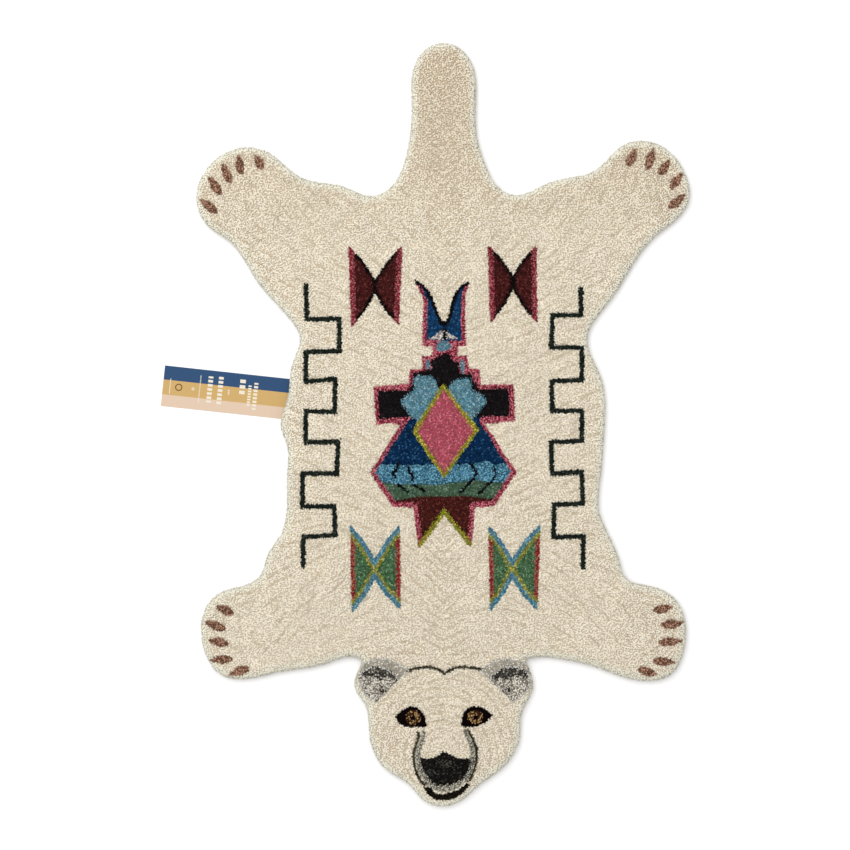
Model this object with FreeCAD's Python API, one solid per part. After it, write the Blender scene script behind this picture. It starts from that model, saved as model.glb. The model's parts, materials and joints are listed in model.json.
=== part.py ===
"""Hand-tufted wool rug in the shape of a bear skin lying flat, with a stepped figure, four bows and
two key borders tufted in coloured yarn, and a striped card tag that comes out from under its left edge.

Millimetres. +Y runs from the head to the tail, +X to the right seen from above, +Z up out of the pile.
The origin is on the underside, at the middle of the rug. Each limb folds up along a straight crease,
where its backing cloth, tufting cloth and pile are parted by a narrow gap.
"""

import FreeCAD, Part
import math
import os

# Heights of the layers, from the floor up
THICKNESS = 14.0
BACKING = 1.2
TUFTING_CLOTH = 1.6
PILE_FOOT = BACKING + TUFTING_CLOTH

CREASE_GAP = 0.4
BACKING_INSET = 3.0

# Widths of the tufted lines
FIGURE_LIME = 5.0
BOW_PINK = 5.5
BOW_BLACK = 3.2
BOW_BLUE = 5.2
BOW_LIME = 4.0
BOW_RED = 4.5
KEY_LINE = 4.6
FOLD_MARK = 2.4
CLAW_WIDTH = 9.5

# Creases: a point on each, and the way the limb points from it, in degrees from +X
CREASES = {
    "tail": ((0, 315), 90),
    "hind_paw_left": ((-206, 261), 144.5),
    "hind_paw_right": ((206, 266), 35.5),
    "fore_paw_left": ((-219, -228), 206),
    "fore_paw_right": ((219, -228), -26),
}
LIMB_REACH = 190
LIMB_HALF_WIDTH = {"tail": 75, "paw": 100}
NECK_Y = -290
NECK_LEFT = -103.8
NECK_RIGHT = 101.5

# Card tag: middle of its hinge crease, its turn from -X, and its size
TAG_HINGE = (-205, 32)
TAG_TURN = -6.2
TAG_LENGTH = 150
TAG_WIDTH = 51
TAG_CARD = 0.6
TAG_STRIP = 34

# Outline of the skin without its head, anticlockwise from the right of the neck
RIGHT_FORE_LEG = [(119, -291), (150, -295), (185, -302.5), (213, -313), (246, -321), (283, -313), (296, -293),
                  (301.5, -262), (296, -232), (280, -213), (254, -203), (227, -194)]
RIGHT_FLANK = [(218, -172), (202, -134), (193, -112), (195, -62), (198, -22), (200, 8), (198, 47), (190, 70),
               (179, 96), (180, 117), (193, 138), (215, 167), (240, 208)]
RIGHT_HIND_LEG = [(266, 238), (292, 259), (306, 284), (300, 314), (282, 340), (250, 354), (222, 348),
                  (203, 330), (186, 316), (150, 307), (120, 297)]
TAIL = [(89, 286), (67, 296), (50, 325), (41, 352), (38, 400), (34, 449), (21, 468), (-2, 477),
        (-25, 468), (-38, 448), (-41, 400), (-45, 350), (-52, 322), (-67, 297), (-92, 285)]
LEFT_HIND_LEG = [(-128, 297), (-175, 306), (-203, 325), (-222, 340), (-250, 346), (-283, 334), (-302, 313),
                 (-311, 282), (-296, 248), (-270, 229)]
LEFT_FLANK = [(-250, 204), (-234, 178), (-208, 148), (-190, 127), (-181, 108), (-186, 88), (-193, 66),
              (-195, 40), (-203, 12), (-205, -4), (-198, -24), (-197, -62), (-198, -112), (-205, -138),
              (-221, -163)]
LEFT_FORE_LEG = [(-231, -190), (-255, -204), (-282, -212), (-301, -234), (-305, -258), (-298, -292),
                 (-284, -311), (-252, -319), (-211, -311), (-178, -306), (-150, -300), (-116, -291)]

# Outline of the head, clockwise from the right of the neck
HEAD = [(103, -303), (109, -318), (108, -336), (98, -355), (94, -372), (93, -394), (86, -412), (71, -431),
        (45, -450), (20, -471), (-2.5, -478.5), (-25, -472), (-45, -451), (-74, -432), (-88, -412),
        (-93.5, -394), (-95, -372), (-99, -352), (-110, -336), (-112.5, -320), (-106, -303)]

# The figure: its outer edge, then what lies inside its pink outline
HORN_NOTCH = [(-37.5, 180), (-29.5, 175), (-19, 163), (-12.5, 148), (-7, 134), (-1.5, 127),
              (5, 135), (8.5, 152), (16.5, 168), (30, 178)]
FIGURE_EDGE_POINTS = [ (25, 161), (24.5, 128), (26, 98), (16, 98), (15, 84), (27, 85), (29, 69), (42.5, 68),
                      (44.5, 48.5), (85, 49), (87, 4), (47, 1), (62, -18), (73, -37), (89, -60), (61, -102),
                      (37, -104), (33, -152), (-1, -109), (-33, -153), (-39, -104), (-65, -103), (-93, -61),
                      (-55, -1), (-65, 2), (-85.5, -0.5), (-89, 46), (-45, 50), (-43, 67.5), (-28, 68),
                      (-27.5, 84.5), (-14.5, 84.5), (-15.5, 98), (-27.5, 98), (-27, 130), (-26, 155),
                      (-31, 166)]
HORN_FILL_SIDES = [(26, 173), (21, 158), (20.5, 128), (22, 104), (-23, 104), (-23, 130), (-22, 154),
                   (-28, 166), (-35, 179)]
BODY_TOP = [(-9, 84), (-4, 88.5), (7.5, 87), (9, 79.5), (16.5, 77), (19, 63), (34, 63), (37.5, 51.5),
            (43, 43.5), (80, 45), (81.5, 9.5), (44, 9), (-42, 8), (-83, 6), (-84, 41.5), (-45, 42.5),
            (-41.5, 51.5), (-40, 64), (-17, 69), (-19, 79.5)]
SKIRT = [(-42, 8), (-50, -1), (-88, -60.5), (-62, -98), (-34, -98), (-29, -147), (-1, -109), (29, -146),
         (32, -98), (59, -97), (83.5, -59.5), (68, -36), (57, -17), (44, 2), (44, 9)]
LOBE_LEFT = [(-37.5, 59), (-30, 61), (-22.5, 59.5), (-17, 61), (-12.5, 54), (-8, 46), (-20, 10), (-30, -2),
             (-33, 3), (-42, 8.5), (-49, 18), (-55, 27.5), (-48, 36), (-39, 43.5)]
LOBE_RIGHT = [(6, 48), (13, 55), (20, 56.5), (32, 56), (34, 43), (44, 38), (51, 30.5), (46, 19), (38, 10),
              (33, 3), (20, 5)]
DIAMOND = [(-2.5, 51.5), (-41, -9), (-1.5, -68.5), (42.5, -7)]
DIAMOND_FILL = [(-1.5, 43.5), (-34.5, -9), (-1, -61.5), (35.5, -8)]
NECK_PATCH = [(-10, 94.5), (-8, 102), (5, 102), (8, 95.5), (4, 93)]
STEP_PATCHES = [[(-24, 80), (-20, 80), (-17.5, 69), (-24, 69.5)], [(18, 79.5), (23.5, 79.5), (24.5, 63.5),
                (19.5, 63.5)]]
WHITE_PEAKS = [[(-20.5, 106), (-1, 118.5), (-3, 106)], [(1.5, 115), (16.5, 106), (2.5, 107)]]
HORN_TICK = [(-1.5, 119), (2.5, 119), (1.5, 107), (-1.5, 105), (-3, 108)]
LIME_PEAK = [(-32.5, -152), (-1, -109), (32.5, -151)]

# Lower edges of the skirt's navy, sky and green bands
NAVY_HEM = [(-95, -51), (-60, -51), (-30, -51), (0, -51), (30, -50), (53, -46), (63, -51), (95, -46)]
SKY_HEM = [(-95, -71.5), (-60, -75), (-10, -76), (37, -70.5), (60, -73), (95, -74)]
GREEN_HEM = [(-95, -100), (-58, -95), (-28, -91), (30, -91), (60, -94), (95, -100)]
FOLD_MARKS = [ [(-58, -47), (-60, -56), (-65, -62), (-61.5, -68)], [(-46, -53.5), (-44.5, -60),
              (-41, -62.5), (-40.5, -71)], [(-59, -75.5), (-46, -85)], [(-40, -76), (-25, -84)], [(32, -50),
              (40.5, -62), (33, -71), (18.5, -87)], [(60.5, -54), (64, -60.5), (60.5, -69), (41.5, -88)]]

# Bows: two triangles that meet at a waist; each row is top left, bottom left, waist, top right, bottom right
UPPER_BOWS = [[(-120, 222), (-117, 122), (-87.5, 172), (-54, 222), (-58, 124)],
              [(54, 223), (57, 127), (85, 177), (114, 223), (115, 127)]]
UPPER_WAIST = 7.5
LOWER_BOWS = [[(-118, -127), (-116, -235), (-88, -182), (-57, -127), (-56, -231)],
              [(55, -128), (57, -233), (84, -181), (119, -126), (115, -232)]]
LOWER_WAIST = 12
BOW_BULGE = 2.3

# Key borders, from the tail end down
KEY_LEFT = [(-174, 175), (-172.5, 131), (-132, 131.5), (-132, 91), (-174, 90), (-174, 53), (-137, 56),
            (-138, 15), (-174, 16), (-174, -23), (-133.5, -22), (-135, -62), (-178, -62), (-178, -103),
            (-138.5, -103), (-137.5, -139), (-177, -141), (-177.5, -180)]
KEY_RIGHT = [(170, 171), (170, 136), (134.5, 136), (133, 96), (171, 95.5), (171, 55), (133.5, 53.5),
             (134, 16.5), (171, 16.5), (171, -21), (132.5, -23), (134, -62), (171, -60), (172.5, -99.5),
             (136.5, -101), (136, -141.5), (173, -140.5), (172.5, -181)]

# Claws: tip and root of each
CLAWS = {
    "hind_paw_left": [((-237.5, 336), (-228, 319)), ((-258.5, 336), (-255, 313)), ((-277.5, 325), (-269, 302)),
                      ((-295, 309), (-281, 287)), ((-305.5, 281), (-285, 264))],
    "hind_paw_right": [((238.5, 343.5), (229, 323)), ((261, 343.5), (252.5, 318.5)), ((280.5, 329.5), (268.5, 312)),
                       ((296.5, 313), (282.5, 295)), ((300, 286.5), (280.5, 270))],
    "fore_paw_left": [((-286, -228), (-265, -237)), ((-299.5, -247), (-275, -257)),
                      ((-295.5, -270), (-271, -275.5)), ((-293, -295), (-266, -294)), ((-270, -313), (-245, -305))],
    "fore_paw_right": [((284.5, -229), (261.5, -233)), ((297.5, -249), (271, -251)), ((295.5, -271.5), (268, -273)),
                       ((287, -298.5), (261, -296)), ((265, -313.5), (242, -306))],
}

# Head: the left ear is drawn and mirrored in MIDLINE
MIDLINE = -0.6
EAR = [(-45, -307.5), (-57.5, -300), (-66, -295.7), (-76.5, -293), (-87.5, -294.3), (-99, -298.5),
       (-105.5, -305), (-108.5, -316), (-108, -325), (-103, -335), (-95, -342), (-87, -348.5)]
EAR_HOLLOW = [(-106.3, -318), (-103, -311), (-95, -305.8), (-82, -304), (-72.5, -306.5), (-64, -313),
              (-58, -322), (-66, -338), (-82, -350), (-90, -343.5), (-99, -336.5), (-105, -328)]
EAR_DARK = [(-104, -313), (-97, -303.5), (-83, -301.5), (-71, -304), (-60, -315), (-62.5, -321),
            (-71, -316.5), (-80, -320), (-92, -314.5), (-100.5, -317.5)]
EAR_SPOT = ((-79, -332.5), 4.2, 3.2)
CROWN = [[(-48, -309), (-36, -305.5), (-23, -304), (-11, -306), (0, -312.5)],
         [(0, -312.5), (8, -307), (20, -304.3), (34, -304.8), (48, -307)]]
EYES = [[(-61, -366.5), (-53, -358.5), (-43.5, -354), (-34, -356), (-27.5, -362.5), (-25, -380),
        (-39, -378), (-51, -377)], [(59, -364), (49, -357.5), (37.5, -354), (28, -357), (22.5, -365),
        (21.5, -377), (40, -377), (51, -371.5)]]
IRISES = [((-39.7, -367), 8.6, 8.4), ((37.6, -366.5), 8.8, 8.2)]
PUPILS = [((-40.5, -368), 4.6, 3.4), ((37.8, -367), 3.2, 4.4)]
NOSE = [(-31.5, -415), (-25.5, -419), (-15.5, -418.5), (-2, -410), (10, -416), (17.5, -418.5), (32, -418),
        (30.5, -430), (23.5, -443), (7.5, -450), (-12, -451), (-22.5, -440), (-30, -428)]
NOSE_SHINE = ((-1.5, -424.5), 11, 4.6)
NOSTRILS = [[(-23, -441), (-20, -434.5), (-14, -434), (-11, -439)], [(8, -439), (11, -434), (17, -434.5),
            (20, -440)]]
MUZZLE = [(-26.5, -384.5), (-30, -400), (-33.5, -411), (-33.5, -422), (-30.5, -433), (-24.5, -443.5),
          (-14, -452.5), (0, -455), (13.5, -451.5), (24.5, -443.5), (31.5, -432.5), (34.5, -419.5),
          (34, -406), (29, -393), (24.5, -382)]
MUZZLE_WIDTHS = [3, 4, 4.5, 5, 5, 6, 7.5, 8, 7, 6, 5, 5, 4.5, 4, 3]
CHEEK_LINES = [[(-33.5, -385), (-34, -396), (-38, -406), (-39, -418), (-37, -432), (-31.5, -444),
               (-25, -453)], [(29, -382), (33, -391), (37.5, -400), (39.5, -410), (39, -423), (35.5, -435),
               (30, -447)]]
CHEEK_LINE = 2.2
MOUTH = [(-25.5, -456), (-21, -454.5), (-14, -461), (-0.5, -463), (12, -460), (28, -449.5), (30.5, -451.5),
         (17, -464), (5, -469), (-10, -469), (-20, -463)]

UP = FreeCAD.Vector(0, 0, 1)


def at(point, z=0.0):
    return FreeCAD.Vector(point[0], point[1], z)


def polygon(points):
    """A flat face with straight sides."""
    corners = [at(p) for p in points]
    return Part.Face(Part.makePolygon(corners + corners[:1]))


def spline(points, closed=False):
    curve = Part.BSplineCurve()
    curve.interpolate(Points=[at(p) for p in points], PeriodicFlag=closed)
    return curve.toShape()


def rounded(points):
    """A flat face inside one smooth closed curve through the points."""
    return Part.Face(Part.Wire([spline(points, closed=True)]))


def bounded(*runs):
    """A flat face bounded by runs that follow each other: two points are a straight edge, more a curve."""
    edges = [Part.makeLine(at(r[0]), at(r[1])) if len(r) == 2 else spline(r) for r in runs]
    return Part.Face(Part.Wire(edges))


def oval(centre, half_width, half_height):
    step = math.pi / 4
    return rounded([(centre[0] + half_width * math.cos(i * step), centre[1] + half_height * math.sin(i * step))
                    for i in range(8)])


def stroke_sides(points, widths):
    """The two sides of a line of the given widths, mitred at its bends."""
    left, right = [], []
    for i, p in enumerate(points):
        before = at(p) - at(points[i - 1]) if i else at(points[1]) - at(p)
        after = at(points[i + 1]) - at(p) if i + 1 < len(points) else before
        before.normalize()
        after.normalize()
        across = UP.cross(before + after)
        across.normalize()
        reach = widths[i] / 2 / max(across.dot(UP.cross(before)), 0.4)
        left.append((p[0] + across.x * reach, p[1] + across.y * reach))
        right.append((p[0] - across.x * reach, p[1] - across.y * reach))
    return left, right


def stroke(points, width):
    """A line of tufting with straight runs."""
    left, right = stroke_sides(points, [width] * len(points))
    return polygon(left + right[::-1])


def curved_stroke(points, widths):
    """A line of tufting that bends smoothly and may change in width."""
    left, right = stroke_sides(points, widths)
    return bounded(left, [left[-1], right[-1]], right[::-1], [right[0], left[0]])


def merged(shapes):
    joined = shapes[0].fuse(shapes[1:]) if len(shapes) > 1 else shapes[0]
    return joined.removeSplitter()


def mirrored(points):
    return [(2 * MIDLINE - x, y) for x, y in points]


def box_from(point, degrees, start, reach, half_width):
    """A rectangle that starts at a distance from a point and runs on in a direction."""
    face = polygon([(start, -half_width), (reach, -half_width), (reach, half_width), (start, half_width)])
    face.rotate(at((0, 0)), UP, degrees)
    face.translate(at(point))
    return face


def limb_zone(name, start):
    point, degrees = CREASES[name]
    half_width = LIMB_HALF_WIDTH["tail" if name == "tail" else "paw"]
    return box_from(point, degrees, start, LIMB_REACH, half_width)


def skin_outline(inset):
    """The whole skin without its head, drawn in from its edge by the inset."""
    gap = CREASE_GAP / 2
    left, right = NECK_LEFT - gap, NECK_RIGHT + gap
    edge = ([(right, -294)] + RIGHT_FORE_LEG + RIGHT_FLANK + RIGHT_HIND_LEG + TAIL + LEFT_HIND_LEG + LEFT_FLANK
            + LEFT_FORE_LEG + [(left, -295)])
    around = stroke_sides(edge, [2 * inset] * len(edge))[0]
    neck = NECK_Y + gap
    return bounded(around, [around[-1], (left, neck)], [(left, neck), (right, neck)], [(right, neck), around[0]])


def head_outline(inset):
    neck = NECK_Y - CREASE_GAP / 2
    edge = [(NECK_RIGHT - 0.5, neck)] + HEAD + [(NECK_LEFT + 0.5, neck)]
    around = stroke_sides(edge, [2 * inset] * len(edge))[1]
    return bounded(around, [around[-1], around[0]])


def bodies(inset=0.0):
    """The flat outline of each body, by name."""
    skin = skin_outline(inset)
    gap = CREASE_GAP / 2
    outlines = {"trunk": skin.cut([limb_zone(name, -gap) for name in CREASES]), "head": head_outline(inset)}
    for name in CREASES:
        outlines[name] = skin.common(limb_zone(name, gap))
    return outlines


def figure():
    """The stepped figure, by colour."""
    whole = bounded(HORN_NOTCH, *[[a, b] for a, b in zip([HORN_NOTCH[-1]] + FIGURE_EDGE_POINTS,
                                                          FIGURE_EDGE_POINTS + [HORN_NOTCH[0]])])
    lime_peak = stroke(LIME_PEAK, FIGURE_LIME)
    whole = merged([whole, lime_peak])
    notch_left, notch_right = stroke_sides(HORN_NOTCH, [2 * BOW_BLACK] * len(HORN_NOTCH))
    horn_edge = bounded(HORN_NOTCH, [HORN_NOTCH[-1], notch_right[-1]], notch_right[::-1],
                        [notch_right[0], HORN_NOTCH[0]]).common(whole)
    horn_tick = polygon(HORN_TICK)
    white = Part.makeCompound([polygon(p).cut(horn_tick) for p in WHITE_PEAKS])
    horn_zone = bounded(HORN_NOTCH, *[[a, b] for a, b in zip([HORN_NOTCH[-1]] + HORN_FILL_SIDES,
                                                              HORN_FILL_SIDES + [HORN_NOTCH[0]])])
    patches = Part.makeCompound([rounded(NECK_PATCH)] + [polygon(p) for p in STEP_PATCHES])
    horn_blue = horn_zone.cut([horn_edge, horn_tick, white, patches])

    border = polygon(DIAMOND)
    diamond = polygon(DIAMOND_FILL)
    lobes = Part.makeCompound([rounded(LOBE_LEFT).cut(border), rounded(LOBE_RIGHT).cut(border)])
    body_black = polygon(BODY_TOP).cut([border, lobes, patches])

    marks = merged([stroke(m, FOLD_MARK) for m in FOLD_MARKS])
    skirt = polygon(SKIRT).cut([border, lobes, marks, lime_peak])
    top, bottom = 20, -170
    navy_zone = polygon([(95, top), (-95, top)] + NAVY_HEM)
    sky_zone = polygon(NAVY_HEM[::-1] + SKY_HEM)
    green_zone = polygon(SKY_HEM[::-1] + GREEN_HEM)
    maroon_zone = polygon(GREEN_HEM[::-1] + [(-95, bottom), (95, bottom)])
    inner = [horn_edge, horn_tick, white, horn_blue, border, lobes, patches, body_black, marks, skirt, lime_peak]
    return whole, {
        "figure_pink_outline": whole.cut(inner),
        "figure_horn_blue": horn_blue,
        "figure_horn_white_peaks": white,
        "figure_black_details": Part.makeCompound([merged([horn_edge, horn_tick]), marks]),
        "figure_light_blue_patches": Part.makeCompound([lobes, patches]),
        "figure_black_body": body_black,
        "figure_diamond_border": border.cut(diamond),
        "figure_diamond": diamond,
        "figure_skirt_navy": skirt.common(navy_zone),
        "figure_skirt_sky_blue": skirt.common(sky_zone),
        "figure_skirt_green": skirt.common(green_zone),
        "figure_hem_maroon": skirt.common(maroon_zone),
        "figure_hem_lime": lime_peak,
    }


def bow_outline(corners, half_waist):
    """Both triangles of a bow as one face, and its upper and lower slanting edges, which bulge a little."""
    top_left, bottom_left, waist, top_right, bottom_right = corners
    slants = []
    for left, right, way in ((top_left, top_right, 1), (bottom_left, bottom_right, -1)):
        vertex = (waist[0], waist[1] + way * half_waist)
        middles = []
        for corner in (left, right):
            span = at(vertex) - at(corner)
            bulge = UP.cross(span)
            bulge.normalize()
            middle = at(corner) + span * 0.5 + bulge * math.copysign(BOW_BULGE, bulge.y * way)
            middles.append((middle.x, middle.y))
        slants.append([left, middles[0], vertex, middles[1], right])
    return polygon(slants[0] + slants[1][::-1]), slants


def along_slants(whole, slants, reach):
    """What lies within reach of a bow's slanting edges."""
    return whole.common(merged([stroke(s, 2 * reach) for s in slants]))


def upper_bow(corners):
    """Maroon triangles with pink outer sides and black slanting edges."""
    top_left, bottom_left, _, top_right, bottom_right = corners
    whole, slants = bow_outline(corners, UPPER_WAIST)
    sides = [stroke([top_left, bottom_left], 2 * BOW_PINK), stroke([top_right, bottom_right], 2 * BOW_PINK)]
    pink = whole.common(merged(sides))
    waist = box_from(corners[2], 0, -BOW_BLACK, BOW_BLACK, UPPER_WAIST + BOW_BLACK)
    black = merged([along_slants(whole, slants, BOW_BLACK), whole.common(waist)]).cut(pink)
    return whole, {"pink": pink, "black": black, "fill": whole.cut([pink, black])}


def lower_bow(corners):
    """Green triangles with red outer sides and two bands, blue and lime, along the slanting edges."""
    top_left, bottom_left, _, top_right, bottom_right = corners
    whole, slants = bow_outline(corners, LOWER_WAIST)
    blue = along_slants(whole, slants, BOW_BLUE)
    lime = along_slants(whole, slants, BOW_BLUE + BOW_LIME).cut(blue)
    sides = merged([stroke([top_left, bottom_left], 2 * BOW_RED), stroke([top_right, bottom_right], 2 * BOW_RED)])
    red = whole.common(sides).cut([blue, lime])
    return whole, {"blue": blue, "lime": lime, "red": red, "fill": whole.cut([blue, lime, red])}


def bows():
    """All four bows, gathered by the yarn they are tufted in."""
    upper = [upper_bow(b) for b in UPPER_BOWS]
    lower = [lower_bow(b) for b in LOWER_BOWS]

    def both(pair, key):
        return Part.makeCompound([parts[key] for _, parts in pair])

    return [whole for whole, _ in upper + lower], {
        "upper_bows_maroon": both(upper, "fill"),
        "upper_bows_pink_sides": both(upper, "pink"),
        "upper_bows_black_edges": both(upper, "black"),
        "lower_bows_green": both(lower, "fill"),
        "lower_bows_blue_edges": both(lower, "blue"),
        "lower_bows_lime_bands": both(lower, "lime"),
        "lower_bows_red_sides": both(lower, "red"),
    }


def claw(tip, root):
    """A drop that is pointed at the tip and widest towards the root."""
    along = at(root) - at(tip)
    side = UP.cross(along)
    side.normalize()
    middle = at(tip) + along * 0.62
    end = at(tip) + along * 1.02
    half = CLAW_WIDTH / 2
    quarter = at(tip) + along * 0.25
    points = [at(tip), quarter + side * half * 0.62, middle + side * half, end, middle - side * half,
              quarter - side * half * 0.62]
    return rounded([(p.x, p.y) for p in points])


def face_features():
    """What is tufted into the head, by colour."""
    ears = []
    for turn in (list, mirrored):
        ear = bounded(turn(EAR), [turn(EAR)[-1], turn(EAR)[0]])
        hollow = ear.common(rounded(turn(EAR_HOLLOW)))
        spot_centre = turn([EAR_SPOT[0]])[0]
        dark = hollow.common(Part.makeCompound([rounded(turn(EAR_DARK)), oval(spot_centre, *EAR_SPOT[1:])]))
        ears.append((ear, ear.cut(hollow), dark, hollow.cut(dark)))
    lines = merged([curved_stroke(c, [CHEEK_LINE] * len(c)) for c in CROWN])
    eyes = [bounded(e[:6], e[5:] + e[:1]) for e in EYES]
    irises = [oval(*i).cut(oval(*p)) for i, p in zip(IRISES, PUPILS)]
    nose = bounded(NOSE[:4], NOSE[3:7], NOSE[6:] + NOSE[:1])
    shine = Part.makeCompound([oval(*NOSE_SHINE)] + [curved_stroke(n, [2.2] * 4) for n in NOSTRILS])
    mouth = bounded(MOUTH[:6], MOUTH[5:7], MOUTH[6:] + MOUTH[:1])
    muzzle = curved_stroke(MUZZLE, MUZZLE_WIDTHS).cut([nose, mouth] + eyes)
    cheeks = [curved_stroke(c, [CHEEK_LINE] * len(c)).cut([muzzle, mouth] + eyes) for c in CHEEK_LINES]
    ear_wholes = [ear[0] for ear in ears]
    return {
        "ear_rims_grey": Part.makeCompound([ear[1] for ear in ears]),
        "ear_hollows_dark": Part.makeCompound([ear[2] for ear in ears]),
        "ear_hollows_speckled": Part.makeCompound([ear[3] for ear in ears]),
        "face_dark_lines": Part.makeCompound([lines.cut(ear_wholes)] + cheeks),
        "eyes_black": Part.makeCompound([eye.cut(iris) for eye, iris in zip(eyes, irises)]),
        "irises": Part.makeCompound(irises),
        "nose_black": nose.cut(shine),
        "nose_grey_lights": shine.common(nose),
        "muzzle_grey_band": muzzle,
        "mouth_black": mouth,
    }


def slab(shape, low, high):
    """Every face of a flat shape raised to a solid between two heights."""
    solids = []
    for face in shape.Faces:
        solid = face.extrude(UP * (high - low))
        solid.translate(UP * low)
        solids.append(solid)
    return Part.makeCompound(solids) if len(solids) > 1 else solids[0]


def tag_rectangle(start, reach, half_width):
    return box_from(TAG_HINGE, 180 + TAG_TURN, start, reach, half_width)


def tag_stitches():
    """Six short thread bars that hold the card's end under the rug."""
    bars = []
    for row in (-24, -15):
        for place in (-16, 0, 16):
            bar = polygon([(row - 0.6, place - 3), (row + 0.6, place - 3), (row + 0.6, place + 3), (row - 0.6, place + 3)])
            bar.rotate(at((0, 0)), UP, 180 + TAG_TURN)
            bar.translate(at(TAG_HINGE))
            bars.append(bar)
    return Part.makeCompound(bars)


def build():
    """Every node's solid, by name."""
    outlines = bodies()
    backings = bodies(BACKING_INSET)
    gap = CREASE_GAP / 2
    strip = tag_rectangle(-TAG_STRIP, -gap, TAG_WIDTH / 2)
    stitches = tag_stitches()
    figure_whole, figure_pieces = figure()
    bow_wholes, bow_pieces = bows()
    keys = {"key_border_left": stroke(KEY_LEFT, KEY_LINE), "key_border_right": stroke(KEY_RIGHT, KEY_LINE)}
    inlays = {"trunk": {**figure_pieces, **bow_pieces, **keys}, "head": face_features(), "tail": {}}
    for name, claws in CLAWS.items():
        inlays[name] = {"claws_" + name: Part.makeCompound([claw(*c) for c in claws])}

    nodes = {}
    for name, outline in outlines.items():
        nodes["tufting_cloth_" + name] = slab(outline, BACKING, PILE_FOOT)
        backing = slab(backings[name], 0, BACKING)
        if name == "trunk":
            backing = backing.cut([slab(strip, 0, TAG_CARD), slab(stitches, 0, BACKING)])
        nodes["backing_cloth_" + name] = backing
        coloured = inlays[name]
        holes = [figure_whole] + bow_wholes + list(keys.values()) if name == "trunk" else list(coloured.values())
        field = outline.cut(holes) if holes else outline
        nodes["ivory_pile_" + name] = slab(field, PILE_FOOT, THICKNESS)
        for node, shape in coloured.items():
            nodes[node] = slab(shape.common(outline), PILE_FOOT, THICKNESS)
    nodes["tag_sewn_strip"] = slab(strip, 0, TAG_CARD).cut(slab(stitches, 0, BACKING))
    nodes["tag_stitches"] = slab(stitches, 0, BACKING)
    nodes["tag_card"] = slab(tag_rectangle(gap, TAG_LENGTH, TAG_WIDTH / 2), 0, TAG_CARD)
    return nodes


os.makedirs("parts", exist_ok=True)
for name, shape in build().items():
    shape.exportStep("parts/" + name + ".step")
    print(f"{name}: {len(shape.Solids)} solids, {shape.Volume / 1000:.1f} cm3, valid {shape.isValid()}")
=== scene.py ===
# %% [markdown]
# # A hand-tufted bear-skin rug
#
# The rug is wool pile on cloth: thousands of cut tufts stand on a woven ground, and a plain
# backing cloth covers their feet below. This lesson takes the flat coloured solids of the
# measured frame and grows real tufts on each of them, so that every colour meets its
# neighbour along the same ragged line as in the tufting frame.

# %% The measured frame
import json
import math

import bmesh
import bpy
import numpy as np
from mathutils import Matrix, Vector, geometry, kdtree


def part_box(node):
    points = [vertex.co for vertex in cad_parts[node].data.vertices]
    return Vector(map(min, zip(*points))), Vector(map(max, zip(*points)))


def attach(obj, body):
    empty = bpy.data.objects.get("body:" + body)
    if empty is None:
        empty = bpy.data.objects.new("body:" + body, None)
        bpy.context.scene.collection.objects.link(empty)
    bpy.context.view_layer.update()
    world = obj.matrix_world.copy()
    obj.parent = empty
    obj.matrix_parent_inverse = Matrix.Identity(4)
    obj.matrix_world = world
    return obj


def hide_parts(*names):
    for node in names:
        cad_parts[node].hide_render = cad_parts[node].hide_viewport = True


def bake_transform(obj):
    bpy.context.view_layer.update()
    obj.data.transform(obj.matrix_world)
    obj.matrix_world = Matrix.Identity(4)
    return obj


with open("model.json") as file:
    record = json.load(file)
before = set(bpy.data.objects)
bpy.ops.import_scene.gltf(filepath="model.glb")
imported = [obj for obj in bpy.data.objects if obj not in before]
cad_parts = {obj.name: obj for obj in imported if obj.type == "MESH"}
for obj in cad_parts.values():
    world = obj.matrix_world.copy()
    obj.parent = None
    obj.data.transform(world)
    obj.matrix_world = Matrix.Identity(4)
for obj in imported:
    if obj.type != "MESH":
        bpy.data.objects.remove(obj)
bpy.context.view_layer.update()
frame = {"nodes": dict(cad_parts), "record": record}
nodes = frame["nodes"]
record = frame["record"]
BODY = {node: body for body, held in record["behaviour"]["bodies"].items() for node in held}
HINGES = {joint["child"]: joint for joint in record["behaviour"]["joints"]}

# %% [markdown]
# ## Sizes of the pile
#
# A hand-tufted rug has about 11 mm of pile. Each loop is cut open, so one yarn makes a
# small brush some 2 mm across. The bed below stands for the yarns' crowded feet, and only
# their last few millimetres are modelled one by one.

# %% Driving sizes, in metres
MM = 0.001
PITCH = 1.8 * MM
FINE_PITCH = 1.5 * MM
TUFT_RADIUS = 1.4 * MM
TUFT_HEIGHT = 2.1 * MM
TUFT_FOOT = 1.4 * MM
PILE_FOOT = 2.8 * MM
BED_TOP = 12.1 * MM
EDGE_ROUND = 8.5 * MM
EDGE_DROP = 7.4 * MM
EDGE_INSET = 1.0 * MM
OUTLINE_STEP = 3.2 * MM
GRID_STEP = 6.0 * MM
BEND = 30 * MM
# Painted shade: the bed is given this up value, so it is painted as dark as the tufts' lower parts.
BED_UP = 0.75
LEAN = 0.2
CROWDING = 2.4
CREASE = 0.9 * MM
FINE_OUTLINE_STEP = 2.0 * MM
STROKE_STEP = 2 * MM
FAR_AWAY = 9.0
print("pile:", TUFT_HEIGHT / MM, "mm of each tuft stands free, every", PITCH / MM, "mm")

# %% [markdown]
# ## Carrying a piece
#
# The rug folds at the neck, the tail and the four wrists. The real cloth bends over a
# few centimetres there, so a piece that reaches within that distance of the fold is left in
# place, unparented, and a piece further out simply rides the limb.


# %% How pieces follow the bodies
def hinge_frame(body):
    """A fold's point, the way out along its limb, and its axis, as numpy arrays."""
    joint = HINGES[body]
    axis = np.array(joint["axis"], float)
    return np.array(joint["pos_m"], float), np.array([-axis[1], axis[0], 0.0]), axis


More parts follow.
